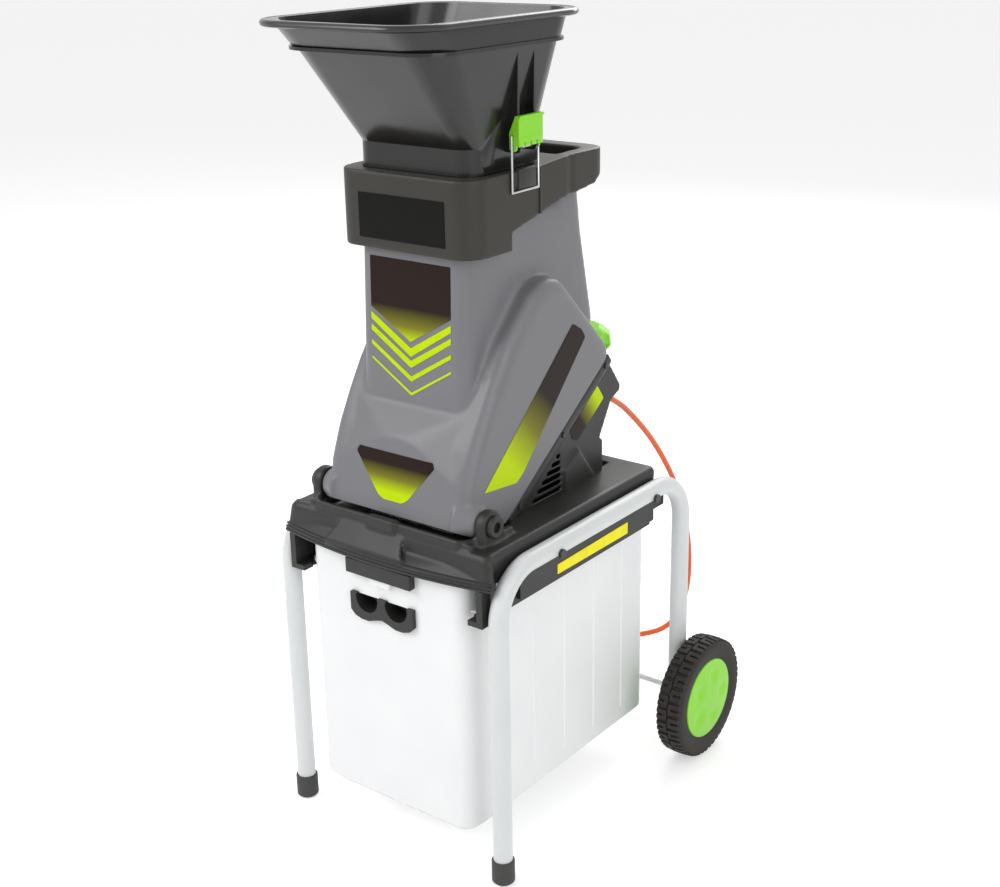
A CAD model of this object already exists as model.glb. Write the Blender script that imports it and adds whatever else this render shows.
"""Garden shredder on a wheeled tube stand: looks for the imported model, built as an add-on and run as a script."""

import math

import bmesh
import bpy
from mathutils import Matrix, Vector
from mathutils.bvhtree import BVHTree


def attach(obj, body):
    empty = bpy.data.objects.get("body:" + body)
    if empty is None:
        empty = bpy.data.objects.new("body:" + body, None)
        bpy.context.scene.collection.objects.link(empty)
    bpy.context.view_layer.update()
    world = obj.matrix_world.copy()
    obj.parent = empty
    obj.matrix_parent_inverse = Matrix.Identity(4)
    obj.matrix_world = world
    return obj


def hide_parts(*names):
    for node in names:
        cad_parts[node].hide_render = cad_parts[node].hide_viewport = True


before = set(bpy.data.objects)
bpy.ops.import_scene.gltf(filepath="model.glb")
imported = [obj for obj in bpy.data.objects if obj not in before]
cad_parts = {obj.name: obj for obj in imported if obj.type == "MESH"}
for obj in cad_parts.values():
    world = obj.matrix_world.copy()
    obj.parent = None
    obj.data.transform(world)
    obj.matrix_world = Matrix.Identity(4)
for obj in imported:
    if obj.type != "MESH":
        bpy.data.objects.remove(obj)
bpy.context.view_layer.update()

bl_info = {
    "name": "Garden Shredder",
    "version": (1, 0, 0),
    "blender": (4, 5, 0),
    "location": "View3D > Sidebar > Shredder",
    "description": "Dresses the packed garden shredder with finished pieces, materials, light and a camera",
    "category": "Object",
}

MM = 0.001
# Row Y of the middle of the stand, where the measured places count from
STAND_Y = -13.75
SIDES = ((1, "right"), (-1, "left"))
# Distances in metres within which points count as one: on meshes made here, and on meshes of CAD nodes
MERGE = 0.000005
WELD = 0.00002


def linear(code):
    """Linear colour of an sRGB hex value."""
    parts = [int(code[i:i + 2], 16) / 255 for i in (1, 3, 5)]
    return [c / 12.92 if c <= 0.04045 else ((c + 0.055) / 1.055) ** 2.4 for c in parts]


def rgba(colour, gain=1.0):
    return [min(1.0, c * gain) for c in colour] + [1.0]


def at(x, y, z):
    """Row point in metres of a place in millimetres from the middle of the stand."""
    return Vector((x * MM, (y + STAND_Y) * MM, z * MM))


def tint(label, use, code):
    """Colour property whose default is an sRGB hex value."""
    return bpy.props.FloatVectorProperty(name=label, description=use, subtype="COLOR", size=3, default=linear(code))


class ShredderColours(bpy.types.PropertyGroup):
    grey: tint("Tower grey", "Moulded tower", "#747478")
    black: tint("Base black", "Deck, rails and motor housing", "#242523")
    dark: tint("Collar dark", "Collar and carrying handle", "#34322d")
    hopper: tint("Hopper black", "Funnel and rim", "#201f1e")
    green: tint("Green", "Latches, knob and wheel discs", "#8cdd22")
    lime: tint("Lime", "Bars and stripe on the tower", "#c4e000")
    brown: tint("Panel brown", "Dark ends of the panels", "#271a16")
    silver: tint("Tube silver", "Powder coat of the stand", "#dcdfdf")
    milky: tint("Box white", "Milky catch box", "#f6f7f8")
    tyre: tint("Tyre", "Rubber of the wheels", "#302e2c")
    cord: tint("Cord orange", "Sheath of the cord", "#e8622c")
    yellow: tint("Strip yellow", "Bare strip on the rail", "#fff02a")


class ShredderSizes(bpy.types.PropertyGroup):
    edge: bpy.props.FloatProperty(
        name="Edge rounding", description="Rounding of moulded edges", default=1.4 * MM, unit="LENGTH")
    film: bpy.props.FloatProperty(
        name="Film thickness", description="Thickness of the printed films", default=0.4 * MM, unit="LENGTH")
    cord_diameter: bpy.props.FloatProperty(
        name="Cord diameter", description="Diameter of the sheath", default=8.5 * MM, unit="LENGTH")


def settings():
    return bpy.context.scene.shredder_colours, bpy.context.scene.shredder_sizes


def node(tree, kind, links=None, **values):
    """Adds a node with its settings, its socket values and its links."""
    made = tree.nodes.new(kind)
    for key, value in values.items():
        if hasattr(made, key):
            setattr(made, key, value)
        else:
            made.inputs[key.replace("_", " ")].default_value = value
    for socket, source in (links or {}).items():
        tree.links.new(source, made.inputs[socket])
    return made


def new_material(name):
    """Empty material with its shader, output and Object coordinates."""
    made = bpy.data.materials.new(name)
    made.use_nodes = True
    tree = made.node_tree
    tree.nodes.clear()
    shader = node(tree, "ShaderNodeBsdfPrincipled")
    node(tree, "ShaderNodeOutputMaterial", {"Surface": shader.outputs[0]})
    place = node(tree, "ShaderNodeTexCoord")
    return made, tree, shader, place.outputs["Object"]


def ramp(tree, source, stops):
    """Colour ramp with stops of position and RGBA."""
    made = node(tree, "ShaderNodeValToRGB", {"Fac": source})
    made.color_ramp.elements[0].position, made.color_ramp.elements[0].color = stops[0]
    made.color_ramp.elements[1].position, made.color_ramp.elements[1].color = stops[-1]
    for position, colour in stops[1:-1]:
        made.color_ramp.elements.new(position).color = colour
    return made.outputs["Color"]


def moulded(name, colour, roughness, grain_mm, depth_mm, spread=0.05, wave_mm=0.0, specular=0.5):
    """Moulded plastic: a fine grain, a cloudy change of tone and gloss, and where given a slow waviness."""
    made, tree, shader, place = new_material(name)
    cloud = node(tree, "ShaderNodeTexNoise", {"Vector": place}, Scale=14.0, Detail=3.0)
    grain = node(tree, "ShaderNodeTexNoise", {"Vector": place}, Scale=1 / (grain_mm * MM), Detail=2.0)
    tone = ramp(tree, cloud.outputs["Fac"], [
        (0.1, rgba(colour, 1 - 2 * spread)), (0.9, rgba(colour, 1 + 2 * spread))])
    tree.links.new(tone, shader.inputs["Base Color"])
    gloss = node(tree, "ShaderNodeMapRange", {"Value": cloud.outputs["Fac"]},
                 From_Min=0.1, From_Max=0.9, To_Min=roughness - 0.09, To_Max=roughness + 0.09)
    tree.links.new(gloss.outputs[0], shader.inputs["Roughness"])
    bump = node(tree, "ShaderNodeBump", {"Height": grain.outputs["Fac"]}, Strength=0.35, Distance=depth_mm * MM)
    if wave_mm:
        slow = node(tree, "ShaderNodeTexNoise", {"Vector": place}, Scale=1 / (wave_mm * MM), Detail=0.0)
        bump = node(tree, "ShaderNodeBump", {"Height": slow.outputs["Fac"], "Normal": bump.outputs[0]}, Strength=0.5,
                    Distance=0.02 * wave_mm * MM)
    tree.links.new(bump.outputs[0], shader.inputs["Normal"])
    shader.inputs["IOR"].default_value = 1.5
    shader.inputs["Specular IOR Level"].default_value = specular
    return made


def metal(name, colour, roughness, streak_mm, along):
    """Bare metal: fine streaks along the way it was drawn, turned or ground."""
    made, tree, shader, place = new_material(name)
    stretch = [1 / (streak_mm * MM)] * 3
    stretch[along] *= 0.03
    turned = node(tree, "ShaderNodeMapping", {"Vector": place}, Scale=stretch)
    streak = node(tree, "ShaderNodeTexNoise", {"Vector": turned.outputs[0]}, Scale=1.0, Detail=2.0)
    tone = ramp(tree, streak.outputs["Fac"], [(0.3, rgba(colour, 0.86)), (0.7, rgba(colour, 1.06))])
    tree.links.new(tone, shader.inputs["Base Color"])
    gloss = node(tree, "ShaderNodeMapRange", {"Value": streak.outputs["Fac"]},
                 From_Min=0.3, From_Max=0.7, To_Min=roughness - 0.06, To_Max=roughness + 0.08)
    tree.links.new(gloss.outputs[0], shader.inputs["Roughness"])
    shader.inputs["Metallic"].default_value = 1.0
    return made


def film(name, base, roughness=0.3):
    """Printed vinyl film: smooth with a faint gloss; base makes the node socket of its colour."""
    made, tree, shader, place = new_material(name)
    shader.inputs["Roughness"].default_value = roughness
    shader.inputs["IOR"].default_value = 1.46
    shader.inputs["Specular IOR Level"].default_value = 0.12
    tree.links.new(base(tree, place), shader.inputs["Base Color"])
    return made


def milky_material(colour):
    """Milky plastic: light spreads inside it, so shade is soft and edges glow a little."""
    made, tree, shader, place = new_material("polypropylene_milky")
    cloud = node(tree, "ShaderNodeTexNoise", {"Vector": place}, Scale=9.0, Detail=2.0)
    tone = ramp(tree, cloud.outputs["Fac"], [(0.3, rgba(colour, 0.965)), (0.7, rgba(colour, 1.0))])
    tree.links.new(tone, shader.inputs["Base Color"])
    grain = node(tree, "ShaderNodeTexNoise", {"Vector": place}, Scale=1 / (3.0 * MM), Detail=2.0)
    bump = node(tree, "ShaderNodeBump", {"Height": grain.outputs["Fac"]}, Strength=0.2, Distance=0.06 * MM)
    tree.links.new(bump.outputs[0], shader.inputs["Normal"])
    shader.inputs["Roughness"].default_value = 0.46
    shader.inputs["Subsurface Weight"].default_value = 0.35
    shader.inputs["Subsurface Radius"].default_value = (0.006, 0.006, 0.006)
    return made


MATERIALS = {}


def make_materials():
    """Fills the table of materials, one for each slot."""
    c, _ = settings()
    # Glass-filled polypropylene, moulded with a spark-eroded texture: dull with a soft sheen
    MATERIALS["black_plastic"] = moulded("polypropylene_black", c.black, 0.44, 0.9, 0.10, specular=0.4)
    # Polypropylene of the collar, the same texture in a warmer tone
    MATERIALS["dark_plastic"] = moulded("polypropylene_dark", c.dark, 0.46, 0.9, 0.09, specular=0.3)
    # ABS of the tower, moulded smooth and left satin: broad soft highlights
    MATERIALS["grey_plastic"] = moulded("abs_grey", c.grey, 0.42, 0.7, 0.05, 0.03)
    # Polyethylene hopper, moulded smooth: long glossy streaks on its sloped walls
    MATERIALS["hopper_plastic"] = moulded("polyethylene_hopper", c.hopper, 0.22, 2.5, 0.02, 0.05, 40.0)
    # ABS in a bright colour, moulded smooth: clean colour and a clear highlight
    MATERIALS["green_plastic"] = moulded("abs_green", c.green, 0.34, 1.2, 0.03, 0.04)
    MATERIALS["red_plastic"] = moulded("abs_red", linear("#b8241b"), 0.36, 1.2, 0.03, 0.04)
    # Natural polypropylene sheet, moulded thin: milky and even, with a dull sheen
    MATERIALS["milky_plastic"] = milky_material(c.milky)
    # Powder coat on steel tube: even silver with a fine orange peel
    MATERIALS["tube"] = moulded("powder_coat_silver", c.silver, 0.36, 2.2, 0.03, 0.02)
    # Vulcanised rubber of the tyres: dull, dusty in places
    MATERIALS["tyre"] = moulded("rubber_tyre", c.tyre, 0.72, 1.6, 0.12, 0.10, specular=0.35)
    MATERIALS["foot"] = moulded("rubber_foot", linear("#3a3a39"), 0.66, 1.6, 0.10, 0.08)
    MATERIALS["rubber"] = moulded("rubber_relief", linear("#2e2e2d"), 0.6, 1.4, 0.08, 0.06)
    # PVC sheath, extruded: smooth with faint bands along it
    MATERIALS["cord"] = moulded("pvc_sheath_orange", c.cord, 0.40, 3.0, 0.06, 0.05)
    MATERIALS["plug"] = moulded("pvc_plug", linear("#2b2b2b"), 0.5, 1.2, 0.08, 0.05)
    # Zinc-plated and machined steels, copper wire, brass pins
    MATERIALS["steel"] = metal("steel_zinc_plated", linear("#b4b7ba"), 0.34, 0.5, 0)
    MATERIALS["bright_steel"] = metal("steel_zinc_bright", linear("#e9ebec"), 0.5, 0.5, 0)
    MATERIALS["dark_steel"] = moulded("steel_blackened", linear("#292929"), 0.42, 0.8, 0.04, 0.10)
    MATERIALS["blade"] = metal("steel_ground_blade", linear("#c9cccf"), 0.26, 0.4, 1)
    MATERIALS["wire"] = metal("steel_drawn_wire", linear("#c4c6c8"), 0.24, 0.3, 2)
    MATERIALS["copper"] = metal("copper_enamelled_wire", linear("#b0693a"), 0.38, 0.6, 0)
    MATERIALS["brass"] = metal("brass_pin", linear("#c9a552"), 0.3, 0.4, 2)


# Angle from which an edge of a CAD node is rounded, and the angle up to which faces count as one flat
EDGE_ANGLE = math.radians(32)
FLAT_ANGLE = math.radians(0.5)


def soften(name, width):
    """Rounds the moulded edges of a carried CAD node with modifiers; its own mesh stays as packed."""
    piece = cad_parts[name]
    weld = piece.modifiers.new("weld", "WELD")
    weld.merge_threshold = WELD
    flat = piece.modifiers.new("flat", "DECIMATE")
    flat.decimate_type = "DISSOLVE"
    flat.angle_limit = FLAT_ANGLE
    if width:
        edge = piece.modifiers.new("edge", "BEVEL")
        edge.width = width
        edge.segments = 2
        edge.limit_method = "ANGLE"
        edge.angle_limit = EDGE_ANGLE
        edge.profile = 0.5
        edge.use_clamp_overlap = True
    normal = piece.modifiers.new("normal", "WEIGHTED_NORMAL")
    normal.keep_sharp = False
    return piece


def dress(names, slot, width=0.0):
    """Gives carried CAD nodes their material, and rounded edges where a width is given."""
    for name in names:
        piece = soften(name, width)
        piece.data.materials.clear()
        piece.data.materials.append(MATERIALS[slot])
        for face in piece.data.polygons:
            face.use_smooth = True


def finished(name, bm, body, slot, material=None, stands_for=(), smooth=40.0):
    """Makes a bmesh in row metres an object that rides on a body."""
    mesh = bpy.data.meshes.new(name)
    bmesh.ops.remove_doubles(bm, verts=bm.verts, dist=MERGE)
    for face in bm.faces:
        face.smooth = True
    limit = math.radians(smooth)
    for edge in bm.edges:
        edge.smooth = len(edge.link_faces) == 2 and edge.calc_face_angle(0.0) < limit
    bm.to_mesh(mesh)
    bm.free()
    piece = bpy.data.objects.new(name, mesh)
    bpy.context.scene.collection.objects.link(piece)
    mesh.materials.append(material or MATERIALS[slot])
    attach(piece, body)
    if stands_for:
        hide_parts(*stands_for)
    return piece


# Angle in radians from which an edge of a solid made here is rounded
SHARP = 0.4


def box_points(place, low, high):
    """Corners of a box between two corners, placed by a function."""
    return [place(x, y, z) for x in (low[0], high[0]) for y in (low[1], high[1]) for z in (low[2], high[2])]


def side_box(side, low, high):
    """Row corners of a box given for the right, on one side of the machine."""
    return box_points(at, (side * low[0], *low[1:]), (side * high[0], *high[1:]))


def pour(part, bm):
    """Adds a mesh to another and frees it."""
    mesh = bpy.data.meshes.new("part")
    part.to_mesh(mesh)
    part.free()
    bm.from_mesh(mesh)
    bpy.data.meshes.remove(mesh)


def wrap(bm):
    """Convex solid round the points of a mesh."""
    wrapped = bmesh.ops.convex_hull(bm, input=bm.verts[:])
    spare = [g for g in wrapped["geom_interior"] if isinstance(g, bmesh.types.BMVert)]
    bmesh.ops.delete(bm, geom=spare, context="VERTS")
    return bm


def hull_of_points(points):
    """Convex solid round row points."""
    bm = bmesh.new()
    for p in points:
        bm.verts.new(p)
    return wrap(bm)


def add_plate(bm, z, half_x, y0, y1, front_r, back_r):
    """Flat plate with rounded corners, in millimetres from the middle of the stand."""
    made = bmesh.ops.create_grid(bm, x_segments=1, y_segments=1, size=1.0)["verts"]
    for v in made:
        v.co = at(half_x if v.co.x > 0 else -half_x, y1 if v.co.y > 0 else y0, z)
    middle = (y0 + y1) / 2
    for back, radius in ((False, front_r), (True, back_r)):
        corners = [v for v in made if v.is_valid and (v.co.y > at(0, middle, 0).y) == back]
        bmesh.ops.bevel(bm, geom=corners, offset=radius * MM, offset_type="OFFSET", affect="VERTICES", segments=7,
                        profile=0.5, material=-1)


def hull_of_plates(plates):
    """Convex solid round a stack of plates."""
    bm = bmesh.new()
    for plate in plates:
        add_plate(bm, *plate)
    bmesh.ops.delete(bm, geom=bm.faces[:], context="FACES_ONLY")
    return wrap(bm)


def hull_of_outlines(outlines):
    """Convex solid between side outlines, each given with its half width, on both sides."""
    return hull_of_points([at(side * half_x, y, z) for half_x, outline in outlines for side in (-1, 1)
                           for y, z in outline])


def add_hull(bm, points, edge):
    """Adds a convex solid round row points, its edges rounded by a number of millimetres."""
    part = bmesh.new()
    for p in points:
        part.verts.new(p)
    bmesh.ops.convex_hull(part, input=part.verts[:])
    loose = [v for v in part.verts if not v.link_faces]
    bmesh.ops.delete(part, geom=loose, context="VERTS")
    bmesh.ops.dissolve_limit(part, angle_limit=math.radians(1), verts=part.verts, edges=part.edges)
    sharp = [e for e in part.edges if e.calc_face_angle(0.0) > SHARP]
    bmesh.ops.bevel(part, geom=sharp, offset=edge * MM, offset_type="OFFSET", affect="EDGES", segments=2,
                    profile=0.5, material=-1, clamp_overlap=True)
    pour(part, bm)


def hulls(clouds, edge):
    """Mesh of convex solids with rounded edges, one round each cloud of row points."""
    bm = bmesh.new()
    for points in clouds:
        add_hull(bm, points, edge)
    return bm


def spun(points, centre, steps):
    """Closed ring about an axis along X, from a closed profile of row points."""
    bm = bmesh.new()
    verts = [bm.verts.new(p) for p in points]
    edges = [bm.edges.new(pair) for pair in zip(verts, verts[1:] + verts[:1])]
    bmesh.ops.spin(bm, geom=verts + edges, cent=centre, axis=(1, 0, 0), angle=2 * math.pi, steps=steps,
                   use_merge=True)
    bmesh.ops.remove_doubles(bm, verts=bm.verts, dist=MERGE)
    bmesh.ops.recalc_face_normals(bm, faces=bm.faces)
    return bm


def copy_of(name):
    """Merged copy of a CAD node's mesh."""
    bm = bmesh.new()
    bm.from_mesh(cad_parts[name].data)
    bmesh.ops.remove_doubles(bm, verts=bm.verts, dist=WELD)
    return bm


def relax(bm, verts, rounds):
    """Smooths points towards their neighbours."""
    for _ in range(rounds):
        bmesh.ops.smooth_vert(bm, verts=verts, factor=0.5, use_axis_x=True, use_axis_y=True, use_axis_z=True)


def grown_together(solids, voxel, rounds):
    """One skin over several solids, its edges and valleys smoothed like moulded fillets."""
    joined = bpy.data.meshes.new("joined")
    whole = bmesh.new()
    for bm in solids:
        pour(bm, whole)
    whole.to_mesh(joined)
    whole.free()
    holder = bpy.data.objects.new("joined", joined)
    bpy.context.scene.collection.objects.link(holder)
    skin = holder.modifiers.new("skin", "REMESH")
    skin.mode = "VOXEL"
    skin.voxel_size = voxel * MM
    grown = bpy.data.meshes.new_from_object(holder.evaluated_get(bpy.context.evaluated_depsgraph_get()))
    bm = bmesh.new()
    bm.from_mesh(grown)
    bpy.data.objects.remove(holder)
    bpy.data.meshes.remove(joined)
    bpy.data.meshes.remove(grown)
    relax(bm, bm.verts, rounds)
    return bm


def regrown(name, piece, body, slot, voxel, rounds, extras=(), change=None):
    """Moulded version of a CAD node: the same form with soft edges, and what is added to it here."""
    bm = grown_together([copy_of(name), *extras], voxel, rounds)
    if change:
        change(bm)
    return finished(piece, bm, body, slot, stands_for=[name], smooth=60)


def cut(bm, point, normal):
    """Cuts away what lies below a plane and leaves the cut open."""
    bmesh.ops.bisect_plane(bm, geom=bm.verts[:] + bm.edges[:] + bm.faces[:], dist=0.000001, plane_co=point,
                           plane_no=normal, clear_inner=True)


CAMERA_PLACE = (1.1857, -1.52793, 1.19383)
CAMERA_AZIMUTH = math.radians(37.65)
CAMERA_ELEVATION = math.radians(19.88)
CAMERA_ROLL = math.radians(-1.09)
CAMERA_LENS = 54.805
# Place, size and power of each lamp, and the point they face
LAMPS = {
    "key": ((-1.6, -2.6, 2.8), 2.0, 66),
    "fill": ((3.0, -1.0, 1.8), 2.4, 36),
    "back": ((-0.6, 2.8, 2.6), 2.0, 56),
}
LAMP_AIM = Vector((0, 0, 0.5))
# Strength of the world as light on the machine, and where it is seen
WORLD_LIGHT = 0.5
WORLD_SEEN = 1.0
FLOOR_HALF = 40.0
FLOOR_Z = -0.0004
# How far the floor is lifted towards white where it is seen
FLOOR_SHINE = 0.42


def seen_rays(tree):
    """Socket that is 1 for rays from the camera, straight or by way of a mirror or glass."""
    rays = node(tree, "ShaderNodeLightPath")
    seen = rays.outputs["Is Camera Ray"]
    for word in ("Is Glossy Ray", "Is Transmission Ray"):
        seen = node(tree, "ShaderNodeMath", {0: seen, 1: rays.outputs[word]}, operation="MAXIMUM").outputs[0]
    return seen


class SHREDDER_OT_stage(bpy.types.Operator):
    """Camera at the photograph's view, pale floor and soft studio light"""
    bl_idname = "shredder.stage"
    bl_label = "Stage"

    def execute(self, context):
        a, e, r = CAMERA_AZIMUTH, CAMERA_ELEVATION, CAMERA_ROLL
        forward = Vector((-math.sin(a) * math.cos(e), math.cos(a) * math.cos(e), -math.sin(e)))
        right = Vector((math.cos(a), math.sin(a), 0))
        up = right.cross(forward)
        across = math.cos(r) * right + math.sin(r) * up
        upward = -math.sin(r) * right + math.cos(r) * up
        eye = bpy.data.cameras.new("camera")
        eye.sensor_fit = "HORIZONTAL"
        eye.sensor_width = 36
        eye.lens = CAMERA_LENS
        eye.clip_end = 200
        camera = bpy.data.objects.new("camera", eye)
        turn = Matrix((across, upward, -forward)).transposed().to_4x4()
        camera.matrix_world = Matrix.Translation(CAMERA_PLACE) @ turn
        context.scene.collection.objects.link(camera)
        context.scene.camera = camera

        for name, (place, size, power) in LAMPS.items():
            light = bpy.data.lights.new(name, "AREA")
            light.shape = "SQUARE"
            light.size = size
            light.energy = power
            lamp = bpy.data.objects.new(name, light)
            lamp.location = place
            lamp.rotation_euler = (LAMP_AIM - Vector(place)).to_track_quat("-Z", "Y").to_euler()
            context.scene.collection.objects.link(lamp)

        world = bpy.data.worlds.new("studio")
        world.use_nodes = True
        tree = world.node_tree
        tree.nodes.clear()
        strength = node(tree, "ShaderNodeMapRange", {"Value": seen_rays(tree)}, To_Min=WORLD_LIGHT, To_Max=WORLD_SEEN)
        sky = node(tree, "ShaderNodeBackground", {"Strength": strength.outputs[0]}, Color=(1, 1, 1, 1))
        node(tree, "ShaderNodeOutputWorld", {"Surface": sky.outputs[0]})
        context.scene.world = world

        bm = bmesh.new()
        bmesh.ops.create_grid(bm, x_segments=1, y_segments=1, size=FLOOR_HALF)
        mesh = bpy.data.meshes.new("floor")
        bm.to_mesh(mesh)
        bm.free()
        floor = bpy.data.objects.new("floor", mesh)
        floor.location.z = FLOOR_Z
        context.scene.collection.objects.link(floor)
        made, tree, shader, place = new_material("paper_floor")
        fibre = node(tree, "ShaderNodeTexNoise", {"Vector": place}, Scale=40.0, Detail=2.0)
        tone = ramp(tree, fibre.outputs["Fac"], [(0.3, (0.90, 0.90, 0.90, 1)), (0.7, (0.92, 0.92, 0.92, 1))])
        tree.links.new(tone, shader.inputs["Base Color"])
        shader.inputs["Roughness"].default_value = 0.9
        shader.inputs["Specular IOR Level"].default_value = 0.1
        shine = node(tree, "ShaderNodeMath", {0: seen_rays(tree)}, operation="MULTIPLY")
        shine.inputs[1].default_value = FLOOR_SHINE
        tree.links.new(shine.outputs[0], shader.inputs["Emission Strength"])
        shader.inputs["Emission Color"].default_value = (1, 1, 1, 1)
        mesh.materials.append(made)
        context.scene.view_settings.view_transform = "Standard"
        return {"FINISHED"}


# Way of the free cord from its strain relief to the floor, in millimetres from the middle of the stand
GLAND = Vector((34, 199, 529))
GLAND_DROP = math.radians(31)
RELIEF_LENGTH = 40
RUN_POINTS = [
    (34, 275, 482), (35, 313, 449), (36, 350, 412), (37, 385, 370), (38, 417, 324), (38, 444, 275), (37, 465, 222),
    (34, 480, 168), (28, 489, 118), (18, 493, 76), (4, 492, 42), (-15, 485, 19), (-39, 470, 8), (-64, 449, 6),
]
COIL_MIDDLE = (-66, 346)
COIL_RADIUS = 72
COIL_LAYERS = 4
LAYER_TURNS = 2.75
COIL_POINTS_PER_TURN = 24
COIL_FLOOR = 1.5
TAIL_LENGTH = 80
TAIL_HEIGHT = 14
# The coil starts at this turn, which lies to this side of its middle and heads this way
COIL_START = math.radians(135)
COIL_SIDE = Vector((-math.sqrt(0.5), math.sqrt(0.5), 0))
COIL_WAY = Vector((-math.sqrt(0.5), -math.sqrt(0.5), 0))
# Room between neighbouring turns, and the part of a turn in which the cord climbs a layer
CORD_GAP = 0.8
CLIMB_TURNS = 0.5
# Straight pieces at the ends of the run and of the tail
STRAIGHT = 10
RUN_STEPS = 3
TAIL_STEPS = 8
# Where the tail starts to fall and over how much of it, as parts of its length
TAIL_FALL = (0.06, 0.7)


def ease(t):
    """Smooth step from 0 to 1."""
    c = max(0.0, min(1.0, t))
    return c * c * (3 - 2 * c)


def bow(a, b, c, d, t):
    """Point between b and c on the smooth curve through four points."""
    return (b + t * (c - a) / 2 + t * t * (a - 2.5 * b + 2 * c - d / 2)
            + t * t * t * (1.5 * b - a / 2 - 1.5 * c + d / 2))


def cord_way(diameter, pitch):
    """Points of the whole cord: the hanging run, the coil laid layer on layer, and the tail to the plug."""
    low = diameter / 2 + COIL_FLOOR
    start = Vector((COIL_MIDDLE[0], COIL_MIDDLE[1], low)) + COIL_RADIUS * COIL_SIDE
    drop = Vector((0, math.cos(GLAND_DROP), -math.sin(GLAND_DROP)))
    leave = GLAND + RELIEF_LENGTH * drop
    run = [leave, leave + STRAIGHT * drop, *[Vector(p) for p in RUN_POINTS]]
    run += [start - 2 * STRAIGHT * COIL_WAY, start - STRAIGHT * COIL_WAY]
    way = [run[0]]
    for i in range(1, len(run) - 2):
        way += [bow(run[i - 1], run[i], run[i + 1], run[i + 2], k / RUN_STEPS) for k in range(RUN_STEPS)]
    way += run[-2:]
    turns = COIL_LAYERS * LAYER_TURNS
    for i in range(int(turns * COIL_POINTS_PER_TURN) + 1):
        t = i / COIL_POINTS_PER_TURN
        m = t % (2 * LAYER_TURNS)
        radius = COIL_RADIUS - pitch * (m if m < LAYER_TURNS else 2 * LAYER_TURNS - m)
        high = low + sum(pitch * ease((t - k * LAYER_TURNS) / CLIMB_TURNS + 0.5) for k in range(1, COIL_LAYERS))
        turn = COIL_START + 2 * math.pi * t
        way.append(Vector((COIL_MIDDLE[0] + radius * math.cos(turn), COIL_MIDDLE[1] + radius * math.sin(turn), high)))
    top = low + (COIL_LAYERS - 1) * pitch
    for k in range(1, TAIL_STEPS - 1):
        t = k / TAIL_STEPS
        fall = (top - TAIL_HEIGHT) * ease((t - TAIL_FALL[0]) / TAIL_FALL[1])
        way.append(start + t * TAIL_LENGTH * COIL_WAY + Vector((0, 0, top - low - fall)))
    end = start + TAIL_LENGTH * COIL_WAY + Vector((0, 0, TAIL_HEIGHT - low))
    return way + [end - STRAIGHT * COIL_WAY, end]


class SHREDDER_OT_cord(bpy.types.Operator):
    """Orange cord from the strain relief to the coil behind the machine, with its tie and plug"""
    bl_idname = "shredder.cord"
    bl_label = "Cord"

    def execute(self, context):
        _, sizes = settings()
        diameter = sizes.cord_diameter / MM
        way = [at(*p) for p in cord_way(diameter, diameter + CORD_GAP)]
        curve = bpy.data.curves.new("cord", "CURVE")
        curve.dimensions = "3D"
        curve.bevel_depth = sizes.cord_diameter / 2
        curve.bevel_resolution = 4
        curve.use_fill_caps = True
        line = curve.splines.new("POLY")
        line.points.add(len(way) - 1)
        for point, place in zip(line.points, way):
            point.co = (*place, 1.0)
        line.use_smooth = True
        cord = bpy.data.objects.new("cord", curve)
        context.scene.collection.objects.link(cord)
        curve.materials.append(MATERIALS["cord"])
        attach(cord, "base")
        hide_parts("cord_run", "cord_coil")
        dress(["plug_body"], "plug", 2.2 * MM)
        dress(["plug_pins"], "brass", 0.5 * MM)
        dress(["cord_tie"], "foot", 0.3 * MM)
        dress(["strain_relief"], "rubber")
        return {"FINISHED"}


class SHREDDER_OT_stand(bpy.types.Operator):
    """Tubes, foot caps, axle and bolts"""
    bl_idname = "shredder.stand"
    bl_label = "Stand"

    def execute(self, context):
        dress(["frame_tube_right", "frame_tube_left"], "tube")
        dress(["foot_caps"], "foot", 0.8 * MM)
        dress(["wheel_axle"], "bright_steel", 0.3 * MM)
        dress(["axle_washers", "axle_nuts"], "steel", 0.3 * MM)
        dress(["frame_bolts"], "dark_steel", 0.4 * MM)
        return {"FINISHED"}


# Front lip of the deck, which bows out in the middle, and its beads: foot, top and how far each stands back
LIP_FRONT = -222
LIP_BOW = 19
LIP_HALF = 172
LIP_BEADS = [(409.2, 412.6, -0.6), (413.8, 416.6, 0.6), (417.8, 420.4, 2.2)]
LIP_STEPS = 12
BEAD_HALF = 170.5785
BEAD_DEPTH = 7
# Brow over the lip: plan of its foot and crown on the right, their heights, and the step in of its top
BROW_FOOT = [(170, -213), (168, -219), (163, -221.5), (163, -206)]
BROW_CROWN = [(166, -211), (163, -216), (157, -218.5), (157, -203)]
BROW_Z = (416, 445, 451)
BROW_STEP = (5, 4)
# Side border in section and its length, and the flat of the deck inside it and behind the motor
BORDER = [(160.4, 424), (163, 441), (163, 446), (158, 451), (119, 451), (119, 424)]
BORDER_Y = (-206, 159)
SIDE_FLAT = ((100, -112, 441), (150, 159, 451))
REAR_FLAT = ((-110, 136, 441), (110, 159, 451))
# Frame round the foot of the tower: front bar, cut corners, stops behind the hinge ears, and tongue
FRAME_BAR = ((-116, -216, 440), (116, -209, 461))
FRAME_CORNER = [(114, -216), (114, -209), (141.5, -190), (129, -188)]
FRAME_Z = (440, 461)
HINGE_STOP = [(130, -164), (140, -164), (130, -133), (140, -133)]
STOP_Z = (445, 459)
TONGUE = ((-26, -221, 449), (18, -208, 464))
# Front ramp under the tongue: ends in X, place in Y and heights of its top and of its foot
RAMP = [((-72, 26), -214, (430, 452)), ((-86, 44), -237, (416, 424))]


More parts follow.
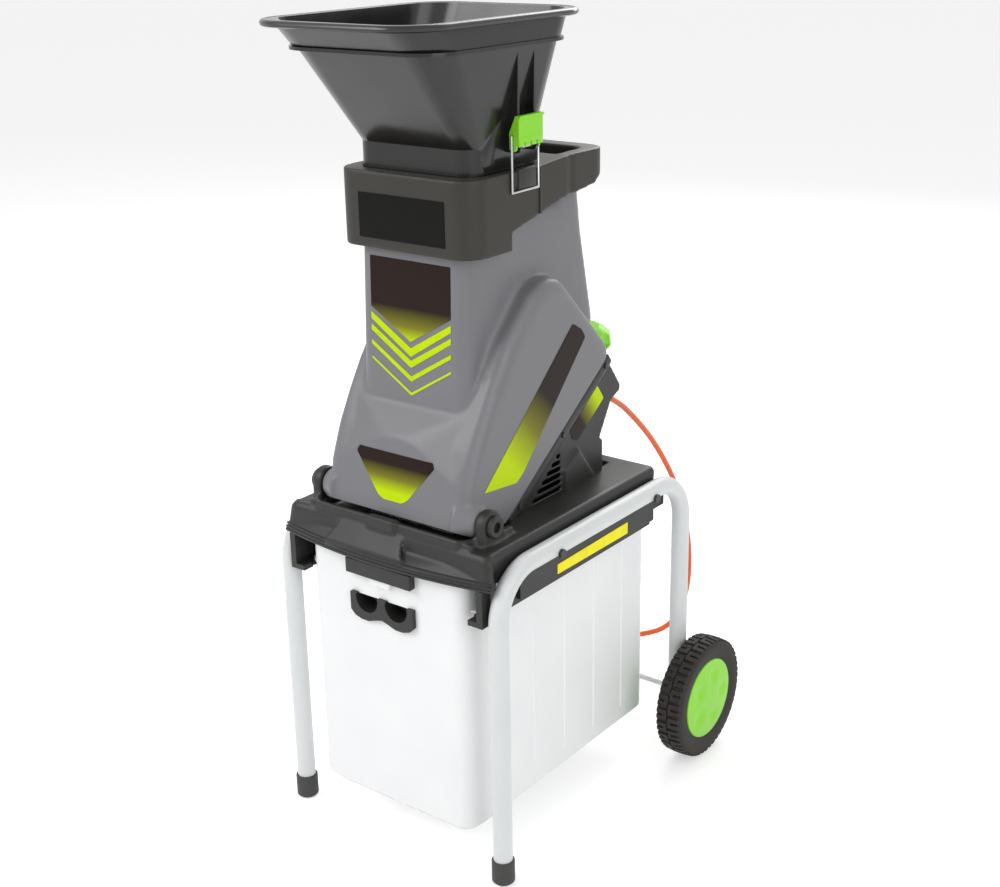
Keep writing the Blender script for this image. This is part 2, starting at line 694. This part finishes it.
def lip_point(x, back, z):
    """Row point on the bowed lip of the deck."""
    return at(x, LIP_FRONT - LIP_BOW * (1 - (x / LIP_HALF) ** 2) + back, z)


def lip_beads():
    """Clouds of row points, one for each bead of the lip."""
    places = [k * BEAD_HALF / LIP_STEPS for k in range(-LIP_STEPS, LIP_STEPS + 1)]
    return [[lip_point(x, back + depth, z) for x in places for z in (low, high) for depth in (0, BEAD_DEPTH)]
            for low, high, back in LIP_BEADS]


def deck_trim():
    """Raised brow and flats, the frame round the foot of the tower with its tongue, and the front ramp."""
    foot_z, crown_z, top_z = BROW_Z
    brow = []
    for side in (-1, 1):
        brow += [at(side * x, y, foot_z) for x, y in BROW_FOOT]
        brow += [at(side * x, y, crown_z) for x, y in BROW_CROWN]
        brow += [at(side * (x - BROW_STEP[0]), y + BROW_STEP[1], top_z) for x, y in BROW_CROWN]
    clouds = [brow, box_points(at, *FRAME_BAR)]
    for side in (-1, 1):
        clouds.append([at(side * x, y, z) for x, z in BORDER for y in BORDER_Y])
        clouds.append(side_box(side, *SIDE_FLAT))
        clouds.append([at(side * x, y, z) for x, y in FRAME_CORNER for z in FRAME_Z])
        clouds.append([at(side * x, y, z) for x, y in HINGE_STOP for z in STOP_Z])
    clouds += [box_points(at, *REAR_FLAT), box_points(at, *TONGUE)]
    clouds.append([at(x, y, z) for ends, y, heights in RAMP for x in ends for z in heights])
    return [hull_of_points(points) for points in clouds]


# Hinge of the tower, and the cap over each end of it: distance from the middle and radius
HINGE_Y = -178
HINGE_Z = 474
HINGE_CAP = [(140.6, 0.4), (140.6, 13.6), (146.5, 14.2), (148.6, 12.4), (148.8, 8.2), (148, 6.6), (143.2, 6.4),
             (143.2, 0.4)]


class SHREDDER_OT_base(bpy.types.Operator):
    """Deck and rails"""
    bl_idname = "shredder.base"
    bl_label = "Deck and rails"

    def execute(self, context):
        _, sizes = settings()
        regrown("deck", "deck_shell", "base", "black_plastic", 2.3, 3, deck_trim())
        finished("deck_lip", hulls(lip_beads(), 0.9), "base", "black_plastic")
        for side, word in SIDES:
            centre = at(0, HINGE_Y, HINGE_Z)
            bm = spun([centre + MM * Vector((side * x, 0, r)) for x, r in HINGE_CAP], centre, 40)
            finished("hinge_cap_" + word, bm, "base", "black_plastic")
        dress(["rail_right", "rail_left"], "black_plastic", sizes.edge)
        dress(["rail_screws"], "steel", 0.3 * MM)
        return {"FINISHED"}


class SHREDDER_OT_motor(bpy.types.Operator):
    """Motor housing, its screws, and the motor and cutter inside"""
    bl_idname = "shredder.motor"
    bl_label = "Motor and cutter"

    def execute(self, context):
        regrown("motor_housing", "motor_shell", "base", "black_plastic", 2.2, 2)
        dress(["cover_screws", "hinge_bolts"], "dark_steel", 0.4 * MM)
        dress(["motor_stator", "motor_rotor", "bearing_upper", "bearing_lower", "bearing_bracket", "motor_shaft",
               "disc_nut", "blade_screws", "knob_insert", "cutter_disc"], "steel", 0.3 * MM)
        dress(["field_coils", "brush_holders", "commutator"], "copper", 0.4 * MM)
        dress(["cooling_fan"], "dark_plastic", 0.4 * MM)
        dress(["blades"], "blade", 0.2 * MM)
        return {"FINISHED"}


# Seam between the tower and the motor housing, and how far the tower stands off it
SEAM_ANGLE = math.radians(35)
SEAM_Z = 534
SEAM_GAP = 0.4
SEAM_NORMAL = (0, -math.sin(SEAM_ANGLE), math.cos(SEAM_ANGLE))
# Foot of the tower, the cut under its toe that clears the deck as it tilts, its open top and its wall
FOOT_Z = 452
TOE_NORMAL = Vector((0, 15, 29)).normalized()
TOWER_TOP = 826
TOWER_WALL = 3.2
# Outlines of the disc cover at three half widths: its crease, its rounding and its flat side
COVER_CREASE = [
    (-117, 412), (-203, 412), (-202, 468), (-194, 520), (-175, 561), (-155, 594), (-125, 628), (-86, 672),
    (-30, 723), (-6, 732), (20, 724), (119, 600), (119, 560),
]
COVER_EDGE = [
    (-117, 412), (-197, 412), (-199, 475), (-193, 512), (-175, 558), (-154, 597), (-133, 632), (-103, 678),
    (-50, 731), (-30, 740), (-8, 743), (14, 737), (120, 628), (119, 560),
]
COVER_FACE = [
    (-117, 412), (-183, 412), (-187, 480), (-182, 514), (-165, 556), (-145, 592), (-124, 624), (-93, 669),
    (-43, 720), (-26, 731), (-8, 734), (8, 728), (111, 622), (119, 560),
]
COVER_OUTLINES = [(93, COVER_CREASE), (106, COVER_EDGE), (115, COVER_FACE)]
# Chute as a stack of plates: height, half width, front, rear, and corner radii in front and behind
TOWER_PLATES = [
    (598, 86, -155, 90, 18, 14), (655, 85.5, -152.5, 128, 18, 14), (828, 82.5, -148, 93, 18, 14),
]
# Row metres past which the valleys between chute and cover are smoothed more, and how many rounds more
VALLEY_X, VALLEY_Y, VALLEY_Z = 0.080, -0.14, 0.60
VALLEY_ROUNDS = 12
# Flared foot: a leaning front face whose top is an arch, and the slope from there up to the chute
FOOT_CORNERS = [(107, -206, 440), (106, -202, 468), (94, -194, 519), (87, -154, 598)]
FOOT_REAR = -60
FOOT_FRONT = -202
FOOT_FRONT_Z = 468
FOOT_LEAN = 0.16
ARCH_HALF = 76
ARCH_TOP = 562
ARCH_FOOT = 521
ARCH_STEPS = 6
# Cone from the foot out to each hinge ear: distance from the middle and radius of its ends
HINGE_CONE = ((98, 31), (126.4, 17))
CONE_STEPS = 36
# The rear of the tower stands up under the carrying loop and is closed by a lid
REAR_RISE = 26
REAR_Y = 40
REAR_BLEND = 25
RISE_FROM = 780
LID = ((-80, 58, 838), (80, 91, 842))
# Arm behind the tower with the round seat of the locking knob
KNOB_Y = 232
KNOB_Z = 575
KNOB_TILT = math.atan2(101, 410)
ARM_Y = 115
ARM_FOOT = ((-40, 105, 9), (40, 117, 24))
SEAT_BAR = ((-30, -46, -10), (30, -38, 0))
SEAT_RADIUS = 24
SEAT_STEPS = 24
SEAT_Z = (-10, 0)
ARM_EDGE = 1.5
# Block that each bail hooks under, and the rib behind it, on the right of the collar
BAIL_CATCH = ((104, -75.6, 863.4), (111.8, -40.4, 886.8))
COLLAR_RIB = ((104, -27.5, 826), (107.6, -23.5, 884))


def seat_point(x, y, z):
    """Row point of a place on the knob's seat."""
    turned = Matrix.Rotation(KNOB_TILT, 3, "X") @ Vector((x, y, z))
    return at(turned.x, turned.y + KNOB_Y, turned.z + KNOB_Z)


def foot_front(z):
    """Y of the leaning front face of the foot at a height."""
    return FOOT_FRONT + FOOT_LEAN * (z - FOOT_FRONT_Z)


def foot_solid():
    """Flared foot: corners on both sides, and the arch where the slope meets the front face."""
    points = []
    for x, y, z in FOOT_CORNERS:
        points += [at(side * x, depth, z) for side in (-1, 1) for depth in (y, FOOT_REAR)]
    for k in range(-ARCH_STEPS, ARCH_STEPS + 1):
        x = ARCH_HALF * k / ARCH_STEPS
        z = ARCH_TOP - (ARCH_TOP - ARCH_FOOT) * (k / ARCH_STEPS) ** 2
        points.append(at(x, foot_front(z), z))
    return hull_of_points(points)


def between(y, steps):
    """Value at y on a line through steps of (y, value)."""
    if y <= steps[0][0]:
        return steps[0][1]
    for (y0, v0), (y1, v1) in zip(steps, steps[1:]):
        if y <= y1:
            return v0 + (v1 - v0) * (y - y0) / (y1 - y0)
    return steps[-1][1]


# Lower and upper outline of the collar seen from the side, and how far each moves for the slim carrying loop
COLLAR_LOW = [(-81, 812), (16, 832), (98, 840), (127, 843)]
COLLAR_HIGH = [(34, 884), (72, 898), (127, 896)]
LOW_MOVES = [(-81, 0), (16, 3), (60, 4), (92, 5), (112, 13), (127, 17)]
HIGH_MOVES = [(-20, 0), (34, 4), (72, -9), (127, -8)]


def slim_loop(bm):
    """Draws the rear of the collar in to a slim level loop."""
    for v in bm.verts:
        y, z = v.co.y / MM - STAND_Y, v.co.z / MM
        low, high = between(y, COLLAR_LOW), between(y, COLLAR_HIGH)
        t = min(max((z - low) / (high - low), 0.0), 1.0)
        v.co.z += MM * ((1 - t) * between(y, LOW_MOVES) + t * between(y, HIGH_MOVES))


def hinge_cheek(side):
    """Cone from the foot of the tower out to its hinge ear."""
    turns = [2 * math.pi * k / CONE_STEPS for k in range(CONE_STEPS)]
    return hull_of_points([at(side * x, HINGE_Y + r * math.cos(turn), HINGE_Z + r * math.sin(turn))
                           for x, r in HINGE_CONE for turn in turns])


def add_knob_arm(bm):
    """Adds the arm from the rear of the tower to the locking knob's seat."""
    seam = Vector((0, 0, SEAM_Z + ARM_Y * math.tan(SEAM_ANGLE)))
    bar = box_points(seat_point, *SEAT_BAR)
    add_hull(bm, box_points(at, *[Vector(p) + seam for p in ARM_FOOT]) + bar, ARM_EDGE)
    turns = [2 * math.pi * k / SEAT_STEPS for k in range(SEAT_STEPS)]
    seat = [seat_point(SEAT_RADIUS * math.cos(turn), SEAT_RADIUS * math.sin(turn), z)
            for turn in turns for z in SEAT_Z]
    add_hull(bm, bar + seat, ARM_EDGE)


class SHREDDER_OT_tower(bpy.types.Operator):
    """Tilting tower: chute, flared foot and disc cover in one moulding"""
    bl_idname = "shredder.tower"
    bl_label = "Tower"

    def execute(self, context):
        solids = [hull_of_plates(TOWER_PLATES), foot_solid(), hull_of_outlines(COVER_OUTLINES), hinge_cheek(-1),
                  hinge_cheek(1)]
        bm = grown_together(solids, 3.2, 4)
        valleys = [v for v in bm.verts if abs(v.co.x) > VALLEY_X and v.co.y > VALLEY_Y and v.co.z > VALLEY_Z]
        relax(bm, valleys, VALLEY_ROUNDS)
        cut(bm, at(0, 0, SEAM_Z + SEAM_GAP), SEAM_NORMAL)
        cut(bm, at(0, 0, FOOT_Z), (0, 0, 1))
        cut(bm, at(0, HINGE_Y, FOOT_Z), TOE_NORMAL)
        cut(bm, at(0, 0, TOWER_TOP), (0, 0, -1))
        for v in bm.verts:
            y, z = v.co.y / MM - STAND_Y, v.co.z / MM
            share = min(max((z - RISE_FROM) / (TOWER_TOP - RISE_FROM), 0.0), 1.0)
            v.co.z += MM * REAR_RISE * ease((y - REAR_Y) / REAR_BLEND) * share
        bmesh.ops.recalc_face_normals(bm, faces=bm.faces)
        bmesh.ops.solidify(bm, geom=bm.faces[:], thickness=TOWER_WALL * MM)
        add_hull(bm, box_points(at, *LID), 0.5)
        add_knob_arm(bm)
        finished("tower_skin", bm, "upper", "grey_plastic", stands_for=["upper_housing"], smooth=50)
        regrown("collar", "collar_shell", "upper", "dark_plastic", 2.0, 5, change=slim_loop)
        for side, word in SIDES:
            finished("bail_catch_" + word, hulls([side_box(side, *BAIL_CATCH)], 1.2), "upper", "dark_plastic")
            finished("collar_rib_" + word, hulls([side_box(side, *COLLAR_RIB)], 0.8), "upper", "black_plastic")
        dress(["collar_screws", "knob_stud"], "steel", 0.3 * MM)
        dress(["lock_knob"], "green_plastic", 1.5 * MM)
        return {"FINISHED"}


# Printed films, with their corners in millimetres from the middle of the stand
PANEL_HALF = 63.5
PANEL = [(-PANEL_HALF, 778), (-PANEL_HALF, 714), (0, 677), (PANEL_HALF, 714), (PANEL_HALF, 778)]
# Bars under the panel: height of the ends and thickness of each, the drop to its point and how much thicker that is
BAR_ENDS = [(707, 9.0), (691, 7.5), (671, 5.5), (650, 3.0)]
BAR_DROP = 38
BAR_POINT = 1.2
BADGE = [(-60, 542), (-63, 535), (-24, 487), (-15, 482), (15, 482), (24, 487), (63, 535), (60, 542)]
STRIPE = [(-160, 505), (-94, 498), (-79, 508), (58, 652), (50, 664), (30, 676)]
LABEL = [(97, 574), (112, 553), (50, 510), (39, 515), (33, 529)]
PLATE = [(-67, 803), (67, 803), (67, 858), (-67, 858)]
STRIP = [(-71, 375.5), (93, 374.5), (93, 391), (-71, 389)]
# Pressing a film on: how far before its face it starts and how far it may go, in metres, and the room left under it
PRESS_START = 0.04
PRESS_REACH = 0.09
FILM_LIFT = 0.2 * MM
FILM_CELL = 9.0


def on_front(y):
    """Place of film corners on an upright plane across the machine."""
    return lambda x, z: at(x, y, z)


def on_side(x):
    """Place of film corners on an upright plane along the machine."""
    return lambda y, z: at(x, y, z)


def fade(start, end, stops):
    """Colour that changes along a line, for a film."""
    def base(tree, place):
        way = end - start
        away = node(tree, "ShaderNodeVectorMath", {0: place}, operation="SUBTRACT")
        away.inputs[1].default_value = start
        along = node(tree, "ShaderNodeVectorMath", {0: away.outputs[0]}, operation="DOT_PRODUCT")
        along.inputs[1].default_value = way / way.length_squared
        return ramp(tree, along.outputs["Value"], stops)
    return base


def even(colour):
    """Nearly even printed colour, for a film."""
    def base(tree, place):
        ink = node(tree, "ShaderNodeTexNoise", {"Vector": place}, Scale=60.0, Detail=2.0)
        return ramp(tree, ink.outputs["Fac"], [(0.3, rgba(colour, 0.95)), (0.7, rgba(colour, 1.04))])
    return base


def lay_film(name, body, slot, material, corners, place, toward, face, rounding=0.0):
    """Thin film: its outline is cut into cells, pressed on the face that carries it, and thickened."""
    _, sizes = settings()
    bm = bmesh.new()
    bm.faces.new([bm.verts.new(place(u, v)) for u, v in corners])
    if rounding:
        bmesh.ops.bevel(bm, geom=bm.verts[:], offset=rounding * MM, offset_type="OFFSET", affect="VERTICES",
                        segments=4, profile=0.5, material=-1, clamp_overlap=True)
    for k in (0, 1):
        low, high = min(c[k] for c in corners), max(c[k] for c in corners)
        across = (place(1, 0) if k == 0 else place(0, 1)) - place(0, 0)
        count = int((high - low) / FILM_CELL)
        for i in range(1, count + 1):
            mark = low + (high - low) * i / (count + 1)
            point = place(mark, corners[0][1]) if k == 0 else place(corners[0][0], mark)
            bmesh.ops.bisect_plane(bm, geom=bm.verts[:] + bm.edges[:] + bm.faces[:], dist=0.0000001, plane_co=point,
                                   plane_no=across)
    carried = BVHTree.FromObject(face, bpy.context.evaluated_depsgraph_get())
    for v in bm.verts:
        touch = carried.ray_cast(v.co - toward * PRESS_START, toward, PRESS_REACH)[0]
        if touch is None:
            raise RuntimeError("film " + name + " reaches past its face")
        v.co = touch - toward * FILM_LIFT
    raised = bmesh.ops.extrude_face_region(bm, geom=bm.faces[:])["geom"]
    bmesh.ops.translate(bm, vec=-toward * sizes.film, verts=[g for g in raised if isinstance(g, bmesh.types.BMVert)])
    bmesh.ops.recalc_face_normals(bm, faces=bm.faces)
    return finished(name, bm, body, slot, material)


class SHREDDER_OT_films(bpy.types.Operator):
    """Bare printed films: panel and bars, badge, side stripes, motor labels, collar plate and rail strip"""
    bl_idname = "shredder.films"
    bl_label = "Films"

    def execute(self, context):
        c, _ = settings()
        dark, lime = rgba(c.brown), rgba(c.lime)
        olive = rgba(linear("#7d7b22"))
        tower = bpy.data.objects["tower_skin"]
        collar = bpy.data.objects["collar_shell"]
        motor = bpy.data.objects["motor_shell"]
        back = Vector((0, 1, 0))
        front = on_front(-165)
        # Vinyl films, printed and smooth: even colour, or a fade from dark brown to lime
        black = film("vinyl_black", even(linear("#121110")), 0.28)
        bars = film("vinyl_lime", even(c.lime))
        yellow = film("vinyl_yellow", even(c.yellow), 0.35)
        fades = {
            "panel": fade(at(0, 0, 762), at(0, 0, 676), [(0.0, dark), (0.5, dark), (0.78, olive), (1.0, lime)]),
            "badge": fade(at(0, 0, 542), at(0, 0, 484), [(0.0, dark), (0.25, dark), (0.55, olive), (0.85, lime)]),
            "stripe": fade(at(0, -120, 500), at(0, 45, 668),
                           [(0.12, lime), (0.36, olive), (0.56, dark), (1.0, dark)]),
            "label": fade(at(0, 104, 564), at(0, 42, 520), [(0.15, lime), (0.45, olive), (0.7, dark), (1.0, dark)]),
        }
        made = {word: film("vinyl_fade_" + word, base) for word, base in fades.items()}
        lay_film("panel_film", "upper", "dark_plastic", made["panel"], PANEL, front, back, tower)
        for k, (end, thick) in enumerate(BAR_ENDS):
            point = end - BAR_DROP
            bar = [(-PANEL_HALF, end), (0, point), (PANEL_HALF, end), (PANEL_HALF, end - thick),
                   (0, point - thick * BAR_POINT), (-PANEL_HALF, end - thick)]
            lay_film("panel_bar_%d" % (k + 1), "upper", "green_plastic", bars, bar, front, back, tower)
        lay_film("badge_film", "upper", "dark_plastic", made["badge"], BADGE, on_front(-215), back, tower, 2.0)
        lay_film("collar_plate", "upper", "dark_plastic", black, PLATE, on_front(-180), back, collar, 1.0)
        for side, word in SIDES:
            flank, inward = on_side(side * 130), Vector((-side, 0, 0))
            lay_film("stripe_film_" + word, "upper", "green_plastic", made["stripe"], STRIPE, flank, inward, tower,
                     3.0)
            lay_film("label_film_" + word, "base", "green_plastic", made["label"], LABEL, flank, inward, motor, 2.0)
        lay_film("rail_strip", "base", "green_plastic", yellow, STRIP, on_side(190), Vector((-1, 0, 0)),
                 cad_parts["rail_right"], 1.0)
        return {"FINISHED"}


# Rolled edge of the hopper's rim: distance out from the flange, and height
RIM_ROLL = [(-3, 1062.5), (-1, 1064.6), (2.5, 1065), (5, 1063.6), (6, 1061), (5, 1058.2), (2.5, 1057), (0, 1057.6),
            (-2, 1060)]
RIM_HALF = 125.5
RIM_FRONT = -273.5
RIM_REAR = 56
RIM_CORNER = 54
RIM_STEPS = 12
# Flat pad on each side of the neck behind the latch: its outlines at three heights, flush below and above
PAD_RINGS = {
    887.5: [(84, -124), (89, -118), (90.8, -110), (90.8, -14), (88, -4), (84, 0)],
    916: [(84, -127), (90, -122), (93.5, -114), (94.5, -104), (94.5, -14), (91, -4), (84, -2)],
    953: [(84, -97), (93, -91), (97, -83), (98, -76), (98, -34), (94, -24), (84, -20)],
}
# Cover of each latch lever: its inner and outer face, the plate in Y and Z, and the teeth below it
LEVER_X = (114.3, 117.3)
LEVER_PLATE = ((-81.6, 919), (-34.3, 926))
TOOTH_Z = (914, 920)
LEVER_TEETH = [(-81.5, -71), (-69.2, -59), (-57.2, -47), (-45, -34.4)]


def rim_loop(bm, out, z):
    """Edges of a rounded rectangle a distance outside the rim's flange."""
    verts = []
    radius = RIM_CORNER + out
    x, y0, y1 = RIM_HALF - RIM_CORNER, RIM_FRONT + RIM_CORNER, RIM_REAR - RIM_CORNER
    for k, (cx, cy) in enumerate(((x, y1), (-x, y1), (-x, y0), (x, y0))):
        for step in range(RIM_STEPS + 1):
            turn = math.pi / 2 * (k + step / RIM_STEPS)
            verts.append(bm.verts.new(at(cx + radius * math.cos(turn), cy + radius * math.sin(turn), z)))
    return [bm.edges.new(pair) for pair in zip(verts, verts[1:] + verts[:1])]


class SHREDDER_OT_hopper(bpy.types.Operator):
    """Feed hopper and its two latches"""
    bl_idname = "shredder.hopper"
    bl_label = "Hopper"

    def execute(self, context):
        dress(["hopper_funnel", "hopper_rim"], "hopper_plastic", 1.2 * MM)
        bm = bmesh.new()
        loops = [rim_loop(bm, out, z) for out, z in RIM_ROLL]
        for one, other in zip(loops, loops[1:] + loops[:1]):
            bmesh.ops.bridge_loops(bm, edges=one + other)
        bmesh.ops.recalc_face_normals(bm, faces=bm.faces)
        finished("rim_roll", bm, "hopper", "hopper_plastic")
        cover = [LEVER_PLATE] + [((start, TOOTH_Z[0]), (end, TOOTH_Z[1])) for start, end in LEVER_TEETH]
        for side, word in SIDES:
            clouds = [side_box(side, (LEVER_X[0], *low), (LEVER_X[1], *high)) for low, high in cover]
            finished("lever_cover_" + word, hulls(clouds, 0.5), "lever_" + word, "green_plastic")
            pad = [at(side * x, y, z) for z, ring in PAD_RINGS.items() for x, y in ring]
            finished("neck_pad_" + word, hulls([pad], 0.8), "hopper", "hopper_plastic")
        dress(["latch_pins"], "steel", 0.2 * MM)
        dress(["latch_lever_right", "latch_lever_left"], "green_plastic", 0.8 * MM)
        dress(["latch_bail_right", "latch_bail_left"], "wire")
        return {"FINISHED"}


class SHREDDER_OT_box(bpy.types.Operator):
    """Catch box with its grip and lock slider"""
    bl_idname = "shredder.box"
    bl_label = "Catch box"

    def execute(self, context):
        dress(["collection_box"], "milky_plastic", 1.2 * MM)
        dress(["box_grip", "box_lock_slider"], "black_plastic", 1.2 * MM)
        return {"FINISHED"}


# Wheel: its axle, the distance of its inner face from the middle, and the tread with its U-shaped lugs
WHEEL_Y = 212
WHEEL_Z = 89
WHEEL_INNER_X = 190
TYRE_WIDTH = 40
TREAD_FLOOR = 85
LUG_HEIGHT = 4
LUGS = 26
LUG_LENGTH = 17.4
LUG_WIDTH = 16.8
LUG_SLOT = 4.0
SLOT_LENGTH = 12
# Top of a lug against its foot, its distance from the edge of the tread, how deep it sits, and its sloped shoulder
LUG_TAPER = (0.93, 0.9, 1)
LUG_INSET = 2.2
LUG_SINK = 0.4
SHOULDER_WIDTH = 5
SHOULDER_SLOPE = 0.55
# Wheel disc: its bowed face, from where on points belong to it, and the dimples in it
DISC_RADIUS = 59
DISC_MIDDLE = 40.8
DISC_BOW = 3.2
FACE_FROM = 36.9
FACE_RINGS = 28
FACE_STEP = 2
DISC_DIMPLES = 5
DIMPLE_RING = 34
DIMPLE_RADIUS = 17
DIMPLE_DEPTH = 3.4
DIMPLE_TURN = 0.3
# Distance from the inner face and radius of points round the tyre's wall
TYRE_PROFILE = [
    (2, 59), (0.8, 68), (0, 78), (1.2, 83), (3.5, TREAD_FLOOR), (36.5, TREAD_FLOOR), (38.8, 83), (39.6, 81.4),
    (39.2, 80.6), (39.7, 79.6), (39.0, 70), (37.6, 63), (37.2, 60.5), (36.4, 59),
]
# The wheel disc: bore, barrel, web, then the bowed face from the edge to the middle
DISC_PROFILE = [
    (0, 6.1), (0, 16), (28, 16), (30, 53), (6, 53.5), (6, 59), (36.4, 59), (37.6, 58.4), (38, 57),
]


def wheel_points(side, profile):
    """Row points of a wheel's profile above its axle."""
    return [at(side * (WHEEL_INNER_X + x), WHEEL_Y, WHEEL_Z + r) for x, r in profile]


def add_lugs(bm, side):
    """Two rows of U-shaped tread lugs, the rows half a step apart."""
    lug = bmesh.new()
    x0, x1, w, slot = -LUG_LENGTH / 2, LUG_LENGTH / 2, LUG_WIDTH / 2, LUG_SLOT / 2
    x2 = x0 + SLOT_LENGTH
    outline = [(x0, -w), (x1, -w), (x1, w), (x0, w), (x0, slot), (x2, slot), (x2, -slot), (x0, -slot)]
    lug.faces.new([lug.verts.new((x, y, 0)) for x, y in outline])
    raised = bmesh.ops.extrude_face_region(lug, geom=lug.faces[:])["geom"]
    top = [v for v in raised if isinstance(v, bmesh.types.BMVert)]
    bmesh.ops.translate(lug, vec=(0, 0, LUG_HEIGHT), verts=top)
    bmesh.ops.scale(lug, vec=LUG_TAPER, verts=top)
    bmesh.ops.recalc_face_normals(lug, faces=lug.faces)
    mesh = bpy.data.meshes.new("lug")
    lug.to_mesh(mesh)
    lug.free()
    centre = at(0, WHEEL_Y, WHEEL_Z)
    for row in (-1, 1):
        for i in range(LUGS):
            before = set(bm.verts)
            bm.from_mesh(mesh)
            turn = 2 * math.pi * (i + row / 4) / LUGS
            for v in bm.verts:
                if v in before:
                    continue
                x, s, h = v.co
                x = TYRE_WIDTH / 2 + row * (TYRE_WIDTH / 2 - LUG_INSET - (x + LUG_LENGTH / 2))
                shoulder = max(0.0, SHOULDER_WIDTH - min(x, TYRE_WIDTH - x)) * SHOULDER_SLOPE
                radius = TREAD_FLOOR - LUG_SINK + h - (shoulder if h > 1 else 0)
                angle = turn + s / TREAD_FLOOR
                v.co = centre + MM * Vector((side * (WHEEL_INNER_X + x), radius * math.sin(angle),
                                             radius * math.cos(angle)))
    bpy.data.meshes.remove(mesh)
    bmesh.ops.recalc_face_normals(bm, faces=bm.faces)


def disc_face():
    """Bowed face of the wheel disc from its edge to its middle."""
    rings = [FACE_STEP * (FACE_RINGS - k) for k in range(FACE_RINGS)]
    return [(DISC_MIDDLE - DISC_BOW * (r / DISC_RADIUS) ** 2, r) for r in rings] + [(DISC_MIDDLE, 0.3)]


class SHREDDER_OT_wheels(bpy.types.Operator):
    """Tyres with U-shaped lugs, and dimpled wheel discs"""
    bl_idname = "shredder.wheels"
    bl_label = "Wheels"

    def execute(self, context):
        for side, word in SIDES:
            centre = at(0, WHEEL_Y, WHEEL_Z)
            bm = spun(wheel_points(side, TYRE_PROFILE), centre, 96)
            add_lugs(bm, side)
            finished("tyre_" + word + "_lugged", bm, "wheel_" + word, "tyre", stands_for=["tyre_" + word])
            bm = spun(wheel_points(side, DISC_PROFILE + disc_face()), centre, 120)
            for v in bm.verts:
                out = abs(v.co.x) / MM - WHEEL_INNER_X
                if out < FACE_FROM:
                    continue
                flat = Vector((v.co.y - centre.y, v.co.z - centre.z)) / MM
                for k in range(DISC_DIMPLES):
                    turn = 2 * math.pi * k / DISC_DIMPLES + DIMPLE_TURN
                    away = (flat - DIMPLE_RING * Vector((math.sin(turn), math.cos(turn)))).length
                    v.co.x -= side * MM * DIMPLE_DEPTH * ease(1 - away / DIMPLE_RADIUS)
            finished("wheel_disc_" + word, bm, "wheel_" + word, "green_plastic", stands_for=["wheel_hub_" + word])
        return {"FINISHED"}


class SHREDDER_OT_controls(bpy.types.Operator):
    """Switch plate and buttons"""
    bl_idname = "shredder.controls"
    bl_label = "Controls"

    def execute(self, context):
        dress(["switch_plate", "safety_switch"], "dark_plastic", 0.8 * MM)
        dress(["on_button"], "green_plastic", 0.8 * MM)
        dress(["off_button"], "red_plastic", 0.8 * MM)
        dress(["reset_button"], "black_plastic", 0.8 * MM)
        return {"FINISHED"}


OPERATORS = [
    SHREDDER_OT_stage, SHREDDER_OT_cord, SHREDDER_OT_stand, SHREDDER_OT_base, SHREDDER_OT_motor, SHREDDER_OT_tower,
    SHREDDER_OT_films, SHREDDER_OT_hopper, SHREDDER_OT_box, SHREDDER_OT_wheels, SHREDDER_OT_controls,
]


class SHREDDER_PT_panel(bpy.types.Panel):
    """Lists the pieces of the garden shredder"""
    bl_idname = "SHREDDER_PT_panel"
    bl_label = "Garden Shredder"
    bl_space_type = "VIEW_3D"
    bl_region_type = "UI"
    bl_category = "Shredder"

    def draw(self, context):
        for kind in OPERATORS:
            self.layout.operator(kind.bl_idname)


CLASSES = [ShredderColours, ShredderSizes, *OPERATORS, SHREDDER_PT_panel]


def register():
    for kind in CLASSES:
        bpy.utils.register_class(kind)
    bpy.types.Scene.shredder_colours = bpy.props.PointerProperty(type=ShredderColours)
    bpy.types.Scene.shredder_sizes = bpy.props.PointerProperty(type=ShredderSizes)


def unregister():
    del bpy.types.Scene.shredder_sizes
    del bpy.types.Scene.shredder_colours
    for kind in reversed(CLASSES):
        bpy.utils.unregister_class(kind)


def main():
    register()
    make_materials()
    for kind in OPERATORS:
        group, name = kind.bl_idname.split(".")
        getattr(getattr(bpy.ops, group), name)()


if __name__ == "__main__":
    main()
